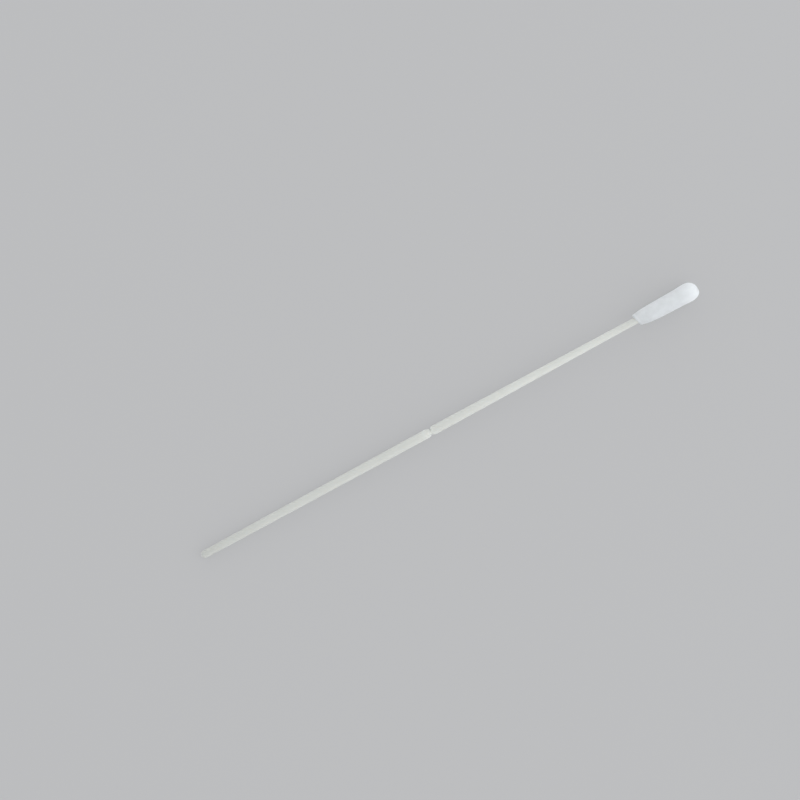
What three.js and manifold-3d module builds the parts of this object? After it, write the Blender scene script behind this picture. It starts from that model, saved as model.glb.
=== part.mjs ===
// A flocked specimen swab, lying as it comes to rest on a level surface.
// Millimetres, +Z up. +X runs along the swab from the tail of the handle to the flocked tip.
// The origin is on the surface, under the middle of the swab's length.
//
// Both pieces are turned about the swab's axis. An outline gives the radius across and the
// distance from the tail end up.

import * as THREE from 'three';
import { mergeVertices } from 'three/addons/utils/BufferGeometryUtils.js';
import Module from 'manifold-3d';

const wasm = await Module();
wasm.setup();

// Whole swab
const LENGTH = 150; // tail end to tip end
const SIDES = 24; // flat sides of each round section, one of them underneath
const CURVE_STEPS = 4; // half the steps in each quarter of a curve

// Handle: grip, snapping neck and tapering shaft
const TAIL_RADIUS = 1.06;
const BREAK_RADIUS = 1.26; // of the grip and of the shaft, on each side of the neck
const NECK_RADIUS = 0.8;
const NECK_LENGTH = 0.35;
const NECK_TO_TIP = 80.5; // middle of the neck to the tip end
const GRIP_SHOULDER = 1.1; // length of the slope between the grip and the neck
const SHAFT_SHOULDER = 0.6; // length of the slope between the neck and the shaft
const SLOPE_BLUNTNESS = 1.45; // power of both slopes' curve: 1 is straight and 2 is an ellipse

// Core: the far end of the shaft, which swells to a bulb under the flock
const SHAFT_RADIUS = 0.9; // where the shaft enters the flock
const MIDDLE_RADIUS = 1.08;
const BULB_RADIUS = 1.32;
const WAIST_TO_TIP = 14.2;
const MIDDLE_TO_TIP = 8;
const BULB_TO_TIP = 3.2;
const CORE_TO_TIP = 1.2;

// Flock: fibres that stand on end all over the core
const GLUE = 0.08; // thickness of the film between the core and the fibres
const FLOCK_WAIST_RADIUS = 2.26;
const FLOCK_MIDDLE_RADIUS = 2.44;
const FLOCK_BULB_RADIUS = 2.59;
const BLUNTNESS = 2.4; // power of the curve over the tip end, at which 2 is an ellipse
const COLLAR_TO_TIP = 18.5;
const COLLAR_RADIUS = 1.81;
const COLLAR_ROUNDING = 0.7; // length of the rounding at the collar's edge
const COLLAR_SLANT = 0.55; // how far the edge runs forward on one side and back on the other
const SLANT_REACH = 4; // length in which the slant dies out

// Rest: the fibres under the bulb give a little, and the lean brings the tail down
const PRESSED = 0.06;
const LEAN = Math.atan2(FLOCK_BULB_RADIUS - TAIL_RADIUS - PRESSED, LENGTH - BULB_TO_TIP - TAIL_RADIUS);
const SLAB = 40; // side of the block that stands for the surface

const QUARTER = Math.PI / 2;

function revolve(points) {
  // Turned about Y with its flat sides at the true radius, then laid along X.
  const toCorner = 1 / Math.cos(Math.PI / SIDES);
  const corners = points.map((p) => new THREE.Vector2(p.x * toCorner, p.y));
  const geometry = new THREE.LatheGeometry(corners, SIDES, Math.PI / SIDES);
  return geometry.rotateZ(-QUARTER);
}

function bluntQuarter(middle, across, along, bluntness) {
  // From a point straight out of the middle to one straight along from it. An ellipse's sine and
  // cosine are raised to the power 2 / bluntness.
  const points = [];
  for (let step = 0; step <= 2 * CURVE_STEPS; step += 1) {
    const turn = (QUARTER * step) / (2 * CURVE_STEPS);
    const out = middle.x + across * Math.cos(turn) ** (2 / bluntness);
    const on = middle.y + along * Math.sin(turn) ** (2 / bluntness);
    points.push(new THREE.Vector2(out, on));
  }
  return points;
}

function coreOutline(film) {
  // From the collar to the round end, grown all over by a film.
  const bulb = LENGTH - BULB_TO_TIP;
  const path = new THREE.Path();
  path.moveTo(SHAFT_RADIUS + film, LENGTH - COLLAR_TO_TIP);
  path.lineTo(SHAFT_RADIUS + film, LENGTH - WAIST_TO_TIP);
  path.splineThru([
    new THREE.Vector2(MIDDLE_RADIUS + film, LENGTH - MIDDLE_TO_TIP),
    new THREE.Vector2(BULB_RADIUS + film, bulb),
  ]);
  path.absellipse(0, bulb, BULB_RADIUS + film, BULB_TO_TIP - CORE_TO_TIP + film, 0, QUARTER);
  return path.getPoints(CURVE_STEPS);
}

function handle() {
  const gripEnd = LENGTH - NECK_TO_TIP - NECK_LENGTH / 2 - GRIP_SHOULDER;
  const shaftStart = LENGTH - NECK_TO_TIP + NECK_LENGTH / 2 + SHAFT_SHOULDER;
  const depth = BREAK_RADIUS - NECK_RADIUS;
  const tail = new THREE.Path();
  tail.absellipse(0, TAIL_RADIUS, TAIL_RADIUS, TAIL_RADIUS, -QUARTER, 0);
  const gripFoot = new THREE.Vector2(NECK_RADIUS, gripEnd);
  const shaftFoot = new THREE.Vector2(NECK_RADIUS, shaftStart);
  const down = bluntQuarter(gripFoot, depth, GRIP_SHOULDER, SLOPE_BLUNTNESS);
  const up = bluntQuarter(shaftFoot, depth, -SHAFT_SHOULDER, SLOPE_BLUNTNESS).reverse();
  return revolve([...tail.getPoints(CURVE_STEPS), ...down, ...up, ...coreOutline(0)]);
}

function slantCollar(geometry) {
  // Each point near the collar moves along the swab by its distance to the side.
  const collar = LENGTH - COLLAR_TO_TIP;
  const position = geometry.getAttribute('position');
  for (let i = 0; i < position.count; i += 1) {
    const nearness = 1 - THREE.MathUtils.smoothstep(position.getX(i), collar, collar + SLANT_REACH);
    const shift = (COLLAR_SLANT * nearness * position.getY(i)) / COLLAR_RADIUS;
    position.setX(i, position.getX(i) - shift);
  }
  return geometry;
}

function sleeve() {
  // From the blind end of the bore out to the collar, then along the outside to the tip.
  const collar = LENGTH - COLLAR_TO_TIP;
  const bulb = LENGTH - BULB_TO_TIP;
  const bore = coreOutline(GLUE).reverse();
  const edge = SHAFT_RADIUS + GLUE;
  const path = new THREE.Path();
  path.moveTo(edge, collar);
  path.absellipse(edge, collar + COLLAR_ROUNDING, COLLAR_RADIUS - edge, COLLAR_ROUNDING, -QUARTER, 0);
  path.splineThru([
    new THREE.Vector2(FLOCK_WAIST_RADIUS, LENGTH - WAIST_TO_TIP),
    new THREE.Vector2(FLOCK_MIDDLE_RADIUS, LENGTH - MIDDLE_TO_TIP),
    new THREE.Vector2(FLOCK_BULB_RADIUS, bulb),
  ]);
  const end = bluntQuarter(new THREE.Vector2(0, bulb), FLOCK_BULB_RADIUS, BULB_TO_TIP, BLUNTNESS);
  return slantCollar(revolve([...bore, ...path.getPoints(CURVE_STEPS), ...end.slice(1)]));
}

function toSolid(geometry) {
  const bare = new THREE.BufferGeometry();
  bare.setAttribute('position', geometry.getAttribute('position'));
  bare.setIndex(geometry.getIndex());
  const merged = mergeVertices(bare);
  const vertProperties = merged.getAttribute('position').array;
  const triVerts = new Uint32Array(merged.getIndex().array);
  return new wasm.Manifold(new wasm.Mesh({ numProp: 3, vertProperties, triVerts }));
}

function toGeometry(solid) {
  const mesh = solid.getMesh();
  const geometry = new THREE.BufferGeometry();
  geometry.setAttribute('position', new THREE.BufferAttribute(mesh.vertProperties, 3));
  geometry.setIndex(new THREE.BufferAttribute(mesh.triVerts, 1));
  return geometry;
}

function flock(toSurface) {
  // The sleeve, less what would lie below the surface.
  const slab = new THREE.BoxGeometry(2 * LENGTH, SLAB, SLAB);
  slab.translate(0, 0, -SLAB / 2);
  slab.applyMatrix4(toSurface.clone().invert());
  return toGeometry(toSolid(sleeve()).subtract(toSolid(slab)));
}

// The swab leans about its tail, which touches the surface at the foot of its round end
const swab = new THREE.Group();
swab.rotation.y = -LEAN;
swab.position.x = (-LENGTH / 2) * Math.cos(LEAN);
swab.position.z = TAIL_RADIUS * (Math.cos(LEAN) - Math.sin(LEAN));
swab.updateMatrix();

const plastic = new THREE.MeshStandardMaterial({ color: 0xd4d7d2, roughness: 0.42 });
const fibre = new THREE.MeshStandardMaterial({ color: 0xe4e8eb, roughness: 0.95 });

const swabHandle = new THREE.Mesh(handle(), plastic);
swabHandle.name = 'swab_handle';
swab.add(swabHandle);

const flockedTip = new THREE.Mesh(flock(swab.matrix), fibre);
flockedTip.name = 'flocked_tip';
swab.add(flockedTip);

const part = new THREE.Group();
part.add(swab);

export default part;
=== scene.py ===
"""A flocked specimen swab lying on a pale table, seen from straight above.

Metres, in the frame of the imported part: +X runs along the swab from the tail of the handle to
the flocked tip, +Z is up, and the table's top is at zero. The tip is thicker than the tail, so
the swab's axis climbs very slightly towards the tip.
"""

import bpy
import numpy as np
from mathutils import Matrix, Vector


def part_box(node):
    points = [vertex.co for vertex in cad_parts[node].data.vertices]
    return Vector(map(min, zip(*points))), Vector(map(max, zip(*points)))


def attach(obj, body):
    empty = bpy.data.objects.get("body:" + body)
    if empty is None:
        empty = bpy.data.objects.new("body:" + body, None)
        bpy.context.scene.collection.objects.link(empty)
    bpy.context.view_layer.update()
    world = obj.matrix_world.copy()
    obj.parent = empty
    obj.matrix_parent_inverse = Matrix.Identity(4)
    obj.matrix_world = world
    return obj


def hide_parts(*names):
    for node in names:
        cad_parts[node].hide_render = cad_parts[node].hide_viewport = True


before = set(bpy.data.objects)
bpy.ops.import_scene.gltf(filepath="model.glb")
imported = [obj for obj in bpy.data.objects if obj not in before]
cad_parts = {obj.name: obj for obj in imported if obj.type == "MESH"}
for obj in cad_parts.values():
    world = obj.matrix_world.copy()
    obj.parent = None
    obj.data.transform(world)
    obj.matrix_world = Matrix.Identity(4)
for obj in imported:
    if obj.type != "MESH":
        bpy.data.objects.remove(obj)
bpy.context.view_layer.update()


# Handle: one injection moulding in milky white plastic. A round-ended grip runs into a narrow
# neck, where it is made to snap, and on into a tapering shaft, whose far end swells to a bulb
# inside the flock. A fine witness line on each side shows where the halves of the mould met.

MM = 0.001
TAIL_RADIUS = 1.06 * MM
BREAK_RADIUS = 1.26 * MM  # of the grip and of the shaft, on each side of the neck
NECK_RADIUS = 0.8 * MM
NECK_LENGTH = 0.35 * MM  # of the neck's straight bottom
NECK_TO_TIP = 80.5 * MM  # middle of the neck to the tip end
GRIP_SHOULDER = 1.1 * MM  # length of the slope between the grip and the neck
SHAFT_SHOULDER = 0.6 * MM  # length of the slope between the neck and the shaft
SLOPE_BLUNTNESS = 1.45  # power of both slopes' curve: 1 is straight and 2 is an ellipse
SHAFT_RADIUS = 0.9 * MM  # where the shaft enters the flock
COLLAR_TO_TIP = 18.5 * MM  # from there to the tip end
CORE_RADIUS = 1.32 * MM  # of the bulb
CORE_SWELL_POWER = 1.5  # how late the core swells: 1 is an even taper
WAIST_TO_TIP = 14.2 * MM  # from the start of the swelling
BULB_TO_TIP = 3.2 * MM
CORE_TO_TIP = 1.2 * MM  # from the core's round end
FLOCK_RADIUS = 2.59 * MM  # over the bulb
WITNESS_HEIGHT = 0.014 * MM
WITNESS_WIDTH = 0.05 * MM
WITNESS_CROWDING = 0.35  # how far the points round the handle draw towards the witness lines
AROUND_HANDLE = 96  # points round the handle
TURN_POINTS = 16  # along the tail's round end and each slope of the neck
STRAIGHT_POINTS = 60  # along the grip, and along the shaft
SWELL_POINTS = 24  # along the core's swelling
CORE_END_POINTS = 12
LIGHT_DEPTH = 1 * MM  # how far light enters the plastic
GRAIN_SIZE = 0.4 * MM
GRAIN_HEIGHT = 0.02 * MM
PLASTIC_CLOUDS = (3 * MM, 0.03)  # size of the soft clouds in the colour, and their depth
PLASTIC_TINT = (0.97, 1.0, 0.96)
PLASTIC_TONE_AND_PAINTED_LIGHT = (  # distance from the tail in millimetres, and lightness: tone, painted light and shade
    # painted shade, darker towards the tail
    (0, 0.515),
    (20, 0.565),
    (60, 0.585),
    (67.2, 0.61),
    (68.3, 0.66),  # where the grip starts to slope to the neck, then painted shade on the lamp-lit slope
    (68.9, 0.48),
    (69.4, 0.74),  # bottom of the neck, painted light in the groove's shade
    (69.6, 0.74),
    (69.95, 0.625),
    (70.5, 0.59),
    (97, 0.63),
    (122, 0.625),
    (129.5, 0.585),
    (131.25, 0.6),
    (131.6, 0.88),  # under the edge of the flock, painted light in its shadow
)

tail_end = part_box("swab_handle")[0].x
flock_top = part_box("flocked_tip")[1]  # its highest corner
LENGTH = flock_top.x - tail_end
climb = flock_top.z - FLOCK_RADIUS - TAIL_RADIUS  # of the axis, from the tail to the bulb
LEAN = np.arcsin(climb / (LENGTH - BULB_TO_TIP - TAIL_RADIUS))
ALONG = np.array([np.cos(LEAN), 0.0, np.sin(LEAN)])  # from the tail end to the tip end
ACROSS = np.array([0.0, 1.0, 0.0])
UPWARD = np.array([-np.sin(LEAN), 0.0, np.cos(LEAN)])  # square to both
TAIL = np.array([tail_end, 0.0, TAIL_RADIUS * (1 - np.sin(LEAN))])  # tail end of the axis


def quarter(count):
    """Evenly spaced angles from zero to a right angle."""
    return np.linspace(0, np.pi / 2, count)


def around_axis(along, radius, turn):
    """Points at a distance along the swab's axis and a radius from it, turned about it from the
    top: tail + along * axis + radius * (cos turn * upward + sin turn * across)."""
    along, radius, turn = np.broadcast_arrays(along, radius, turn)
    side = np.cos(turn)[..., None] * UPWARD + np.sin(turn)[..., None] * ACROSS
    return TAIL + along[..., None] * ALONG + radius[..., None] * side


def placed(name, data):
    """An object in the scene that shows a mesh, or is a lamp or a camera."""
    item = bpy.data.objects.new(name, data)
    bpy.context.scene.collection.objects.link(item)
    return item


def closed_skin(name, grid):
    """A smooth closed piece over a grid of points. Each row of the grid runs once round, and the
    first row and the last row each draw in to the one point at their middle."""
    rows, columns = grid.shape[:2]
    points = np.vstack([grid[0].mean(0), grid[1:-1].reshape(-1, 3), grid[-1].mean(0)])
    here = np.arange(columns)
    beside = (here + 1) % columns
    row = 1 + columns * np.arange(rows - 3)[:, None]
    quads = np.stack([row + beside, row + here, row + columns + here, row + columns + beside], 2)
    last = len(points) - 1
    first_fan = np.stack([0 * here, 1 + here, 1 + beside], 1)
    last_fan = np.stack([0 * here + last, last - columns + beside, last - columns + here], 1)
    faces = first_fan.tolist() + quads.reshape(-1, 4).tolist() + last_fan.tolist()
    mesh = bpy.data.meshes.new(name)
    mesh.from_pydata(points.tolist(), [], faces)
    mesh.shade_smooth()
    return placed(name, mesh)


def core_outline(film):
    """Distance from the tail and radius of the core, grown by a film. It runs straight from the
    collar to the waist, swells to the bulb by a power of the share of the way there, and ends in a
    quarter of an ellipse."""
    share = np.linspace(0, 1, SWELL_POINTS)
    turn = quarter(CORE_END_POINTS)[1:]
    collar = [[LENGTH - COLLAR_TO_TIP], [SHAFT_RADIUS]]
    swelling = [
        LENGTH - WAIST_TO_TIP + (WAIST_TO_TIP - BULB_TO_TIP) * share,
        SHAFT_RADIUS + (CORE_RADIUS - SHAFT_RADIUS) * share**CORE_SWELL_POWER,
    ]
    body = np.hstack([collar, swelling]) + [[0], [film]]
    end_length = BULB_TO_TIP - CORE_TO_TIP + film
    end = [LENGTH - BULB_TO_TIP + end_length * np.sin(turn), (CORE_RADIUS + film) * np.cos(turn)]
    return np.hstack([body, end])


def handle_outline():
    """Distance from the tail and radius of the handle: a quarter of a circle, a straight grip, a
    blunt slope down to the neck and one up from it, a straight shaft, and the core. A slope is an
    ellipse's quarter with its sine and cosine raised to the power 2 / bluntness."""
    grip_side = LENGTH - NECK_TO_TIP - NECK_LENGTH / 2
    shaft_side = LENGTH - NECK_TO_TIP + NECK_LENGTH / 2
    depth = BREAK_RADIUS - NECK_RADIUS
    turn = quarter(TURN_POINTS)
    rise = np.sin(turn) ** (2 / SLOPE_BLUNTNESS)
    fall = np.cos(turn) ** (2 / SLOPE_BLUNTNESS)
    tail = [TAIL_RADIUS * (1 - np.cos(turn)), TAIL_RADIUS * np.sin(turn)]
    down = [grip_side - GRIP_SHOULDER * (1 - rise), NECK_RADIUS + depth * fall]
    up = [shaft_side + SHAFT_SHOULDER * (1 - fall), NECK_RADIUS + depth * rise]
    core = core_outline(0)
    grip_end = [down[0][0], BREAK_RADIUS]
    shaft_start = [up[0][-1], BREAK_RADIUS]
    grip = np.linspace([TAIL_RADIUS, TAIL_RADIUS], grip_end, STRAIGHT_POINTS)[1:-1].T
    shaft = np.linspace(shaft_start, core[:, 0], STRAIGHT_POINTS)[1:-1].T
    return np.hstack([tail, grip, down, up, shaft, core])


def handle_grid():
    """The outline turned about the axis, with a witness line along each side: a ridge whose height
    is a bell curve of the distance from the side, and which fades out where the radius falls below
    the neck's. The columns crowd towards both ridges: turn = step + crowding * sin(2 step)."""
    along, radius = handle_outline()[:, :, None]
    step = np.linspace(0, 2 * np.pi, AROUND_HANDLE, endpoint=False)
    turn = step + WITNESS_CROWDING * np.sin(2 * step)
    from_side = radius * np.cos(turn)
    fade = np.clip(radius / NECK_RADIUS, 0, 1)
    ridge = WITNESS_HEIGHT * fade * np.exp(-((from_side / WITNESS_WIDTH) ** 2))
    return around_axis(along, radius + ridge, turn)


def shaded_along(material, tone_and_painted_light, tint, clouds):
    """Gives a material a colour that changes along the swab: at each distance from the tail, the
    tint times the lightness there, which holds painted light and shade as well as the tone. Soft
    clouds lighten and darken it by up to their depth."""
    size, depth = clouds
    tree = material.node_tree
    place = tree.nodes.new("ShaderNodeTexCoord")
    apart = tree.nodes.new("ShaderNodeSeparateXYZ")
    tree.links.new(place.outputs["Object"], apart.inputs["Vector"])
    share = tree.nodes.new("ShaderNodeMapRange")
    share.inputs["From Min"].default_value = tail_end
    share.inputs["From Max"].default_value = tail_end + LENGTH
    tree.links.new(apart.outputs["X"], share.inputs["Value"])
    ramp = tree.nodes.new("ShaderNodeValToRGB")
    tree.links.new(share.outputs["Result"], ramp.inputs["Fac"])
    stops = ramp.color_ramp.elements
    while len(stops) < len(tone_and_painted_light):
        stops.new(1.0)
    for stop, (distance, lightness) in zip(stops, tone_and_painted_light):
        stop.position = distance * MM / LENGTH
        stop.color = (lightness * tint[0], lightness * tint[1], lightness * tint[2], 1)
    noise = tree.nodes.new("ShaderNodeTexNoise")
    noise.inputs["Scale"].default_value = 1 / size
    tree.links.new(place.outputs["Object"], noise.inputs["Vector"])
    shift = tree.nodes.new("ShaderNodeMapRange")
    shift.inputs["To Min"].default_value = 1 - depth
    shift.inputs["To Max"].default_value = 1 + depth
    tree.links.new(noise.outputs["Fac"], shift.inputs["Value"])
    clouded = tree.nodes.new("ShaderNodeVectorMath")
    clouded.operation = "MULTIPLY"
    tree.links.new(ramp.outputs["Color"], clouded.inputs[0])
    tree.links.new(shift.outputs["Result"], clouded.inputs[1])
    tree.links.new(clouded.outputs["Vector"], tree.nodes["Principled BSDF"].inputs["Base Color"])


def milky_plastic():
    """Satin plastic that light enters a little way, with the fine grain of a spark-finished mould.
    Its colour has painted shade towards the tail and on the grip's slope to the neck, and painted
    light in the neck's groove and under the edge of the flock."""
    material = bpy.data.materials.new("milky_satin_plastic")
    material.use_nodes = True
    tree = material.node_tree
    shader = tree.nodes["Principled BSDF"]
    shader.inputs["Roughness"].default_value = 0.42
    shader.inputs["IOR"].default_value = 1.55
    shader.inputs["Subsurface Weight"].default_value = 0.2
    shader.inputs["Subsurface Scale"].default_value = LIGHT_DEPTH
    shader.inputs["Subsurface Radius"].default_value = (1.0, 0.9, 0.8)
    shaded_along(material, PLASTIC_TONE_AND_PAINTED_LIGHT, PLASTIC_TINT, PLASTIC_CLOUDS)
    place = tree.nodes.new("ShaderNodeTexCoord")
    grain = tree.nodes.new("ShaderNodeTexNoise")
    grain.inputs["Scale"].default_value = 1 / GRAIN_SIZE
    tree.links.new(place.outputs["Object"], grain.inputs["Vector"])
    bump = tree.nodes.new("ShaderNodeBump")
    bump.inputs["Strength"].default_value = 0.15
    bump.inputs["Distance"].default_value = GRAIN_HEIGHT
    tree.links.new(grain.outputs["Fac"], bump.inputs["Height"])
    tree.links.new(bump.outputs["Normal"], shader.inputs["Normal"])
    return material


handle = closed_skin("handle_moulding", handle_grid())
handle.data.materials.append(milky_plastic())
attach(handle, "root")
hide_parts("swab_handle")


# Flock sleeve: the lower, close part of the pile. Short nylon fibres are shot end on into
# adhesive on the core, so they stand upright all over it like the pile of velvet, and this far
# down they hide one another and their roots. Its edge at the collar runs a little aslant.

BLUNTNESS = 2.4  # power of the curve over the tip end, at which 2 is an ellipse
HEAD_SWELL = 0.07 * MM  # how much fuller the head is than the rest of the taper
HEAD_REACH = 2 * MM  # length in which that fullness dies out
TAPER = 0.017  # loss of radius for each unit of length back from the bulb
DROP = 0.46 * MM  # further loss of radius by the start of the collar's rounding
DROP_POWER = 6.5  # how late that loss comes: 1 is an even taper
COLLAR_RADIUS = 1.81 * MM
COLLAR_ROUNDING = 0.7 * MM  # length of the rounding at the collar's edge
COLLAR_SLANT = 0.55 * MM  # how far the edge runs forward on one side and back on the other
SLANT_REACH = 4 * MM  # length in which the slant dies out
HEAD_SLANT = 0.3 * MM  # how far the tip end runs forward on the fuller side
FULLER_SIDE = 0.13 * MM  # how far the middle of the coat leans to one side
FULLER_TO_TIP = 10.5 * MM  # from where it leans the most
FULLER_REACH = 8 * MM  # length in which that lean dies out, both ways
GLUE = 0.08 * MM  # thickness of the film between the core and the fibres
MOUTH_RADIUS = 0.89 * MM  # of the bore at the collar, where the adhesive closes it on the handle
PILE = 0.14 * MM  # depth of the sleeve below the ends of the fibres
TUFT_HEIGHT = 0.02 * MM
TUFT_WAVES = ((9, 3.0), (5, -4.2))  # two sets: waves round, and radians per millimetre along
TUFTS_FROM = 1 * MM  # radius at which the tufts start, to grow over the next millimetre of it
AROUND_SLEEVE = 160  # points round the sleeve
TIP_POINTS = 40  # along its round end
SIDE_POINTS = 120  # along the side, from there to the collar's rounding
EDGE_POINTS = 12  # along that rounding
FLOCK_CLOUDS = (1.2 * MM, 0.07)  # size of the soft clouds in the colour, and their depth
FLOCK_TINT = (0.97, 1.0, 1.022)
FLOCK_TONE_AND_PAINTED_LIGHT = (  # distance from the tail in millimetres, and lightness: tone, painted light and shade
    (131.3, 0.94),  # the edge, painted light in the shade at the collar
    (132.2, 0.815),
    (133.2, 0.84),
    (136, 0.875),
    (141, 0.878),
    (144.5, 0.89),
    (147.3, 0.962),  # the head, painted light where the lamps light the tip end
    (148.7, 0.972),
    (149.6, 0.925),
)


def pile_outline(back, depth):
    """Radius of the pile at a distance back from the tip end, at a depth below its surface. Over
    the tip it is the bulb's radius times (1 - share ** n) ** (1 / n), where the share is of the way
    from the bulb to the tip end and n is the bluntness. Behind the bulb it loses the head's
    swelling by a bell curve, a straight taper, and a drop that grows by a power of the distance.
    Round the collar's edge it is a quarter of an ellipse."""
    share = np.clip((BULB_TO_TIP - back) / (BULB_TO_TIP - depth), 0, 1)
    tip = (FLOCK_RADIUS - depth) * (1 - share**BLUNTNESS) ** (1 / BLUNTNESS)
    behind = np.maximum(back - BULB_TO_TIP, 0)
    swelling = HEAD_SWELL * (1 - np.exp(-((behind / HEAD_REACH) ** 2)))
    reach = COLLAR_TO_TIP - COLLAR_ROUNDING - BULB_TO_TIP
    drop = DROP * np.clip(behind / reach, 0, 1) ** DROP_POWER
    side = FLOCK_RADIUS - depth - swelling - TAPER * behind - drop
    over = np.clip((behind - reach) / (COLLAR_ROUNDING - depth), 0, 1)
    rounded = MOUTH_RADIUS + (side - MOUTH_RADIUS) * np.sqrt(1 - over**2)
    return np.where(back < BULB_TO_TIP, tip, rounded)


def fading(distance):
    """3 * near ** 2 - 2 * near ** 3, where near falls evenly from one at no distance to zero at
    the slants' reach."""
    near = 1 - np.clip(distance / SLANT_REACH, 0, 1)
    return near**2 * (3 - 2 * near)


def settle(points, back, turn, radius):
    """Slants the collar and the tip end in proportion to the distance to the side. Leans the coat
    to its fuller side, by a bell curve of the distance along it times the square of the radius.
    Presses flat what would lie below the table."""
    beside = radius * np.sin(turn)
    slant = COLLAR_SLANT * fading(COLLAR_TO_TIP - back) * beside / COLLAR_RADIUS
    slant = slant + HEAD_SLANT * fading(back) * beside / FLOCK_RADIUS
    lean = FULLER_SIDE * np.exp(-(((back - FULLER_TO_TIP) / FULLER_REACH) ** 2))
    lean = lean * (radius / FLOCK_RADIUS) ** 2
    points = points - slant[..., None] * ALONG - lean[..., None] * ACROSS
    points[..., 2] = np.maximum(points[..., 2], 0)
    return points


def tufts(back, turn, radius):
    """Height of the soft tufts in the pile: a product of two sets of sine waves that cross. It
    grows evenly with the radius from where the tufts start."""
    waves = [np.sin(count * turn + twist * back / MM) for count, twist in TUFT_WAVES]
    return TUFT_HEIGHT * waves[0] * waves[1] * np.clip((radius - TUFTS_FROM) / MM, 0, 1)


def sleeve_grid():
    """The bore over the core from its blind end to the collar, then the outline at the depth of the
    pile from the collar to the tip end, with its tufts. Both are turned about the axis."""
    turn = np.linspace(0, 2 * np.pi, AROUND_SLEEVE, endpoint=False)
    tip = BULB_TO_TIP - (BULB_TO_TIP - PILE) * np.cos(quarter(TIP_POINTS))
    rounding = COLLAR_ROUNDING - PILE
    edge = COLLAR_TO_TIP - COLLAR_ROUNDING + rounding * np.sin(quarter(EDGE_POINTS))
    side = np.linspace(tip[-1], edge[0], SIDE_POINTS)[1:-1]
    outer = np.concatenate([tip, side, edge])[::-1, None]
    outer_radius = pile_outline(outer, PILE)
    outer_radius = outer_radius + tufts(outer, turn, outer_radius)
    bore_along, bore_radius = core_outline(GLUE)[:, :0:-1, None]
    back = np.vstack([LENGTH - bore_along + 0 * turn, outer + 0 * turn])
    radius = np.vstack([bore_radius + 0 * turn, outer_radius])
    return settle(around_axis(LENGTH - back, radius, turn), back, turn, radius)


def flock_nylon():
    """Fine matt white fibres with a cool cast and a soft sheen. Painted light whitens the head and
    the edge at the collar, and painted shade dulls the rest a little towards the collar."""
    material = bpy.data.materials.new("white_nylon_flock")
    material.use_nodes = True
    shader = material.node_tree.nodes["Principled BSDF"]
    shader.inputs["Roughness"].default_value = 0.9
    shader.inputs["Sheen Weight"].default_value = 0.5
    shader.inputs["Sheen Roughness"].default_value = 0.5
    shaded_along(material, FLOCK_TONE_AND_PAINTED_LIGHT, FLOCK_TINT, FLOCK_CLOUDS)
    return material


sleeve = closed_skin("flock_sleeve", sleeve_grid())
sleeve.data.materials.append(flock_nylon())
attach(sleeve, "root")
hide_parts("flocked_tip")


# Fibre ends: the free ends of the pile. Each is a slim three-sided nylon fibre that starts
# inside the sleeve and stands nearly square to it. A few stray ones stand out beyond the rest.

FIBRES = 72000
FIBRE_PIECES = ("fibres_head", "fibres_middle", "fibres_collar")
FIBRE_RADIUS = 0.012 * MM
FIBRE_CORNERS = 3  # of a fibre's section, for which fibre_mesh lists the faces
END_NARROWING = 0.8  # radius at a fibre's end, as a share of its radius at the root
ROOT_DEPTH = 0.08 * MM  # how far a fibre starts below the sleeve's surface
LENGTH_SPREAD = 0.04 * MM  # most fibres stop short of the longest by up to about twice this
STRAY_SHARE = 0.03  # of all fibres
STRAY_REACH = 0.1 * MM  # how far a stray one may stand out
TILT = 0.2  # spread of a fibre's sideways lean, as a share of its length
SCATTER = 0.03 * MM  # spread of the fibres' places
GOLDEN_TURN = np.pi * (3 - np.sqrt(5))
OUTLINE_POINTS = 4000  # at which the pile's outline is measured
OUTLINE_CROWDING = 3  # power that draws them towards the tip end: 1 is even
NUDGE = 0.001 * MM  # half the length over which the outline's slope is taken
FIBRE_SEED = 7


def fibre_places(random):
    """Places spread evenly over the pile: equal steps of area along the outline, a golden turn
    round the swab from each to the next, and a little scatter both ways. Gives the distance back
    from the tip end and the turn."""
    back = COLLAR_TO_TIP * np.linspace(0, 1, OUTLINE_POINTS) ** OUTLINE_CROWDING
    radius = pile_outline(back, 0)
    rim = np.hypot(np.diff(back), np.diff(radius))
    run = np.concatenate([[0], np.cumsum(rim)])
    area = np.concatenate([[0], np.cumsum(rim * (radius[1:] + radius[:-1]) / 2)])
    step = (np.arange(FIBRES) + 0.5) / FIBRES
    place = np.interp(step, area / area[-1], run) + random.normal(0, SCATTER, FIBRES)
    turn = GOLDEN_TURN * np.arange(FIBRES) + random.normal(0, SCATTER / FLOCK_RADIUS, FIBRES)
    return np.interp(np.abs(place), run, back), turn


def unit(lines):
    """Each line divided by its own length."""
    return lines / np.linalg.norm(lines, axis=1)[:, None]


def fibre_ends(back, turn, random):
    """Root and end of each fibre, on a line through the pile's surface along its normal, which is
    outward + slope of the outline * axis, tilted by a small random step."""
    radius = pile_outline(back, 0)
    rise = pile_outline(back + NUDGE, 0) - pile_outline(np.maximum(back - NUDGE, 0), 0)
    outward = np.cos(turn)[:, None] * UPWARD + np.sin(turn)[:, None] * ACROSS
    line = unit(outward + (rise / (2 * NUDGE))[:, None] * ALONG)
    line = unit(line + random.normal(0, TILT, line.shape))
    surface = settle(around_axis(LENGTH - back, radius, turn), back, turn, radius)
    stray = random.uniform(0, STRAY_REACH, len(back))
    stray = stray * (random.uniform(size=len(back)) < STRAY_SHARE)
    reach = stray - np.abs(random.normal(0, LENGTH_SPREAD, len(back)))
    root = surface - (PILE + ROOT_DEPTH) * line
    end = surface + reach[:, None] * line
    end[:, 2] = np.maximum(end[:, 2], FIBRE_RADIUS)
    return root, end


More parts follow.
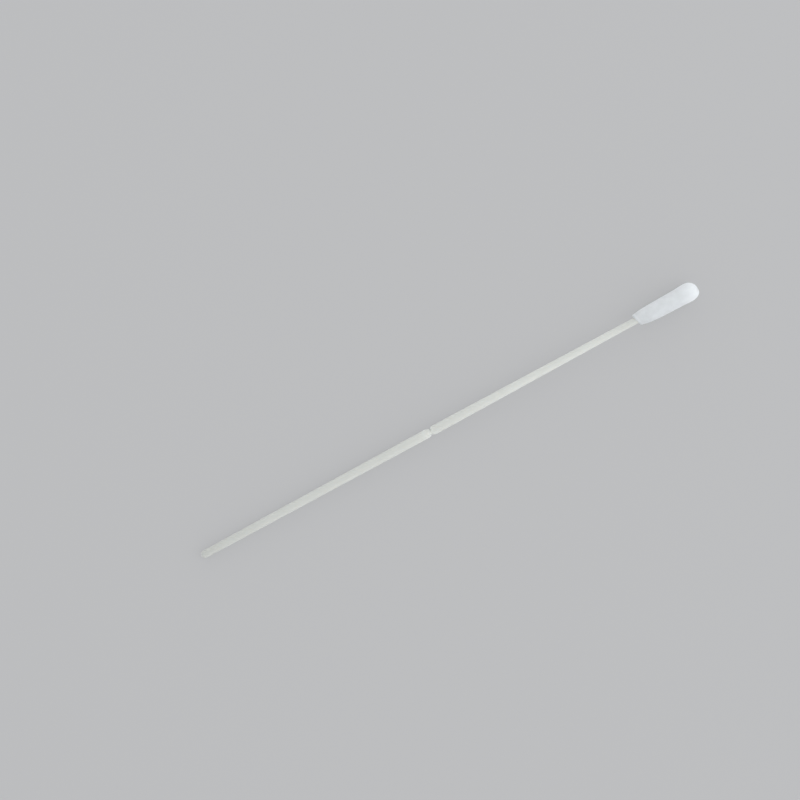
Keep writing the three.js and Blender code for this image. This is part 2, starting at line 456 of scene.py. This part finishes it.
def fibre_mesh(name, root, end, random):
    """Closed three-sided prisms from root to end, a little slimmer at the end. The corners lie at
    even turns about each fibre, from a random first one. In each fibre the root's corners are
    points 0 to 2 and the end's are points 3 to 5."""
    line = unit(end - root)
    side = unit(np.cross(line, random.normal(0, 1, line.shape)))
    other = np.cross(line, side)
    turn = np.arange(FIBRE_CORNERS) * 2 * np.pi / FIBRE_CORNERS
    ring = np.cos(turn)[:, None] * side[:, None] + np.sin(turn)[:, None] * other[:, None]
    low = root[:, None] + FIBRE_RADIUS * ring
    high = end[:, None] + END_NARROWING * FIBRE_RADIUS * ring
    points = np.concatenate([low, high], 1)
    walls = [[0, 1, 4], [0, 4, 3], [1, 2, 5], [1, 5, 4], [2, 0, 3], [2, 3, 5]]
    ends = [[0, 2, 1], [3, 4, 5]]
    faces = 2 * FIBRE_CORNERS * np.arange(len(root))[:, None, None] + np.array(walls + ends)
    mesh = bpy.data.meshes.new(name)
    mesh.vertices.add(points.size // 3)
    mesh.vertices.foreach_set("co", points.ravel())
    mesh.loops.add(faces.size)
    mesh.loops.foreach_set("vertex_index", faces.ravel())
    mesh.polygons.add(faces.size // 3)
    mesh.polygons.foreach_set("loop_start", np.arange(0, faces.size, 3))
    mesh.update(calc_edges=True)
    mesh.shade_smooth()
    return placed(name, mesh)


random = np.random.default_rng(FIBRE_SEED)
fibre_back, fibre_turn = fibre_places(random)
fibre_root, fibre_end = fibre_ends(fibre_back, fibre_turn, random)
stretches = np.array_split(np.arange(FIBRES), len(FIBRE_PIECES))
for piece_name, stretch in zip(FIBRE_PIECES, stretches):
    fibres = fibre_mesh(piece_name, fibre_root[stretch], fibre_end[stretch], random)
    fibres.data.materials.append(sleeve.data.materials[0])
    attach(fibres, "root")


# Table: a plain pale grey top, wide enough to fill every view. Most of what the camera sees of
# it is its own even glow, so that the swab's shadow stays faint.

TABLE_REACH = 3.0  # from the middle of the table to each side
TABLE_CORNERS = ((-1, -1), (1, -1), (1, 1), (-1, 1))
TABLE_COLOUR = (0.48, 0.485, 0.495, 1)
TABLE_GLOW = (0.5, 0.505, 0.515, 1)
GLOW_SHARE = 0.7  # of what is seen of the table


def seen_straight_or_mirrored(tree):
    """One where a ray comes from the camera, straight or by way of gloss or glass, and zero where
    it carries light between surfaces."""
    path = tree.nodes.new("ShaderNodeLightPath")
    mirrored = tree.nodes.new("ShaderNodeMath")
    mirrored.operation = "MAXIMUM"
    tree.links.new(path.outputs["Is Glossy Ray"], mirrored.inputs[0])
    tree.links.new(path.outputs["Is Transmission Ray"], mirrored.inputs[1])
    either = tree.nodes.new("ShaderNodeMath")
    either.operation = "MAXIMUM"
    tree.links.new(path.outputs["Is Camera Ray"], either.inputs[0])
    tree.links.new(mirrored.outputs["Value"], either.inputs[1])
    return either.outputs["Value"]


def table_top():
    """Matt grey, mixed for what is seen of it with an even glow of the same grey."""
    material = bpy.data.materials.new("pale_grey_top")
    material.use_nodes = True
    tree = material.node_tree
    shader = tree.nodes["Principled BSDF"]
    shader.inputs["Base Color"].default_value = TABLE_COLOUR
    shader.inputs["Roughness"].default_value = 0.9
    shader.inputs["Specular IOR Level"].default_value = 0.2
    glow = tree.nodes.new("ShaderNodeEmission")
    glow.inputs["Color"].default_value = TABLE_GLOW
    share = tree.nodes.new("ShaderNodeMath")
    share.operation = "MULTIPLY"
    share.inputs[1].default_value = GLOW_SHARE
    tree.links.new(seen_straight_or_mirrored(tree), share.inputs[0])
    both = tree.nodes.new("ShaderNodeMixShader")
    tree.links.new(share.outputs["Value"], both.inputs["Fac"])
    tree.links.new(shader.outputs["BSDF"], both.inputs[1])
    tree.links.new(glow.outputs["Emission"], both.inputs[2])
    tree.links.new(both.outputs["Shader"], tree.nodes["Material Output"].inputs["Surface"])
    return material


table_mesh = bpy.data.meshes.new("table")
table_points = [(x * TABLE_REACH, y * TABLE_REACH, 0) for x, y in TABLE_CORNERS]
table_mesh.from_pydata(table_points, [], [(0, 1, 2, 3)])
table_mesh.materials.append(table_top())
table = placed("table", table_mesh)


# Light: an even pale surround, brighter low down so that the sides of round things are lit too,
# and two soft lamps beyond the flocked tip, a broad high one on one side and a low one on the
# other. The camera sees the surround as plain grey, straight and in gloss.

LOW_STRENGTH = 2.0  # of the surround level with the table
HIGH_STRENGTH = 0.7  # and overhead
HIGH_FROM = 0.8  # sine of the angle up at which it is first as dim as overhead
SEEN_STRENGTH = 0.5  # as the camera sees it
LAMPS = (  # name, place, side and power in watts
    ("high_softbox", (0.72, -0.42, 0.46), 0.9, 3.2),
    ("low_softbox", (0.6, 0.32, 0.12), 0.3, 0.5),
)


def surround():
    """A world whose strength falls smoothly with the sine of the angle up, and is even where the
    camera sees it."""
    world = bpy.data.worlds.new("surround")
    world.use_nodes = True
    tree = world.node_tree
    place = tree.nodes.new("ShaderNodeTexCoord")
    apart = tree.nodes.new("ShaderNodeSeparateXYZ")
    tree.links.new(place.outputs["Generated"], apart.inputs["Vector"])
    fall = tree.nodes.new("ShaderNodeMapRange")
    fall.interpolation_type = "SMOOTHSTEP"
    fall.inputs["From Max"].default_value = HIGH_FROM
    fall.inputs["To Min"].default_value = LOW_STRENGTH
    fall.inputs["To Max"].default_value = HIGH_STRENGTH
    tree.links.new(apart.outputs["Z"], fall.inputs["Value"])
    seen = tree.nodes.new("ShaderNodeMix")
    seen.inputs["B"].default_value = SEEN_STRENGTH
    tree.links.new(seen_straight_or_mirrored(tree), seen.inputs["Factor"])
    tree.links.new(fall.outputs["Result"], seen.inputs["A"])
    background = tree.nodes["Background"]
    background.inputs["Color"].default_value = (1, 1, 1, 1)
    tree.links.new(seen.outputs["Result"], background.inputs["Strength"])
    return world


def softbox(name, place, size, power):
    """A square lamp that faces the swab's middle."""
    lamp_data = bpy.data.lights.new(name, "AREA")
    lamp_data.size = size
    lamp_data.energy = power
    lamp = placed(name, lamp_data)
    lamp.location = place
    lamp.rotation_euler = (-Vector(place)).to_track_quat("-Z", "Y").to_euler()


bpy.context.scene.world = surround()
for lamp_name, lamp_place, lamp_size, lamp_power in LAMPS:
    softbox(lamp_name, lamp_place, lamp_size, lamp_power)


# Camera: straight above, turned so that the swab climbs to the right, with the swab a little
# to the right of the view's middle and a little below it.

SLOPE = np.radians(28.48)  # of the swab in the view
VIEW_WIDTH = 0.21298  # of what the camera takes in at the swab's height
LENS = 85.0  # focal length in millimetres
SENSOR = 36.0  # its width in millimetres
SWAB_RIGHT = 0.013034  # from the middle of the view to the middle of the swab
SWAB_UP = -0.005804
SWAB_HEIGHT = flock_top.z / 3  # of the swab's axis half way along, near enough

camera_data = bpy.data.cameras.new("camera")
camera_data.lens = LENS
camera_data.sensor_width = SENSOR
camera = placed("camera", camera_data)
view_right = Vector((np.cos(SLOPE), -np.sin(SLOPE), 0))
view_up = Vector((np.sin(SLOPE), np.cos(SLOPE), 0))
camera_height = VIEW_WIDTH * LENS / SENSOR + SWAB_HEIGHT
camera.location = Vector((0, 0, camera_height)) - SWAB_RIGHT * view_right - SWAB_UP * view_up
camera.rotation_euler = (0, 0, -SLOPE)
bpy.context.scene.camera = camera
bpy.context.scene.view_settings.view_transform = "Standard"
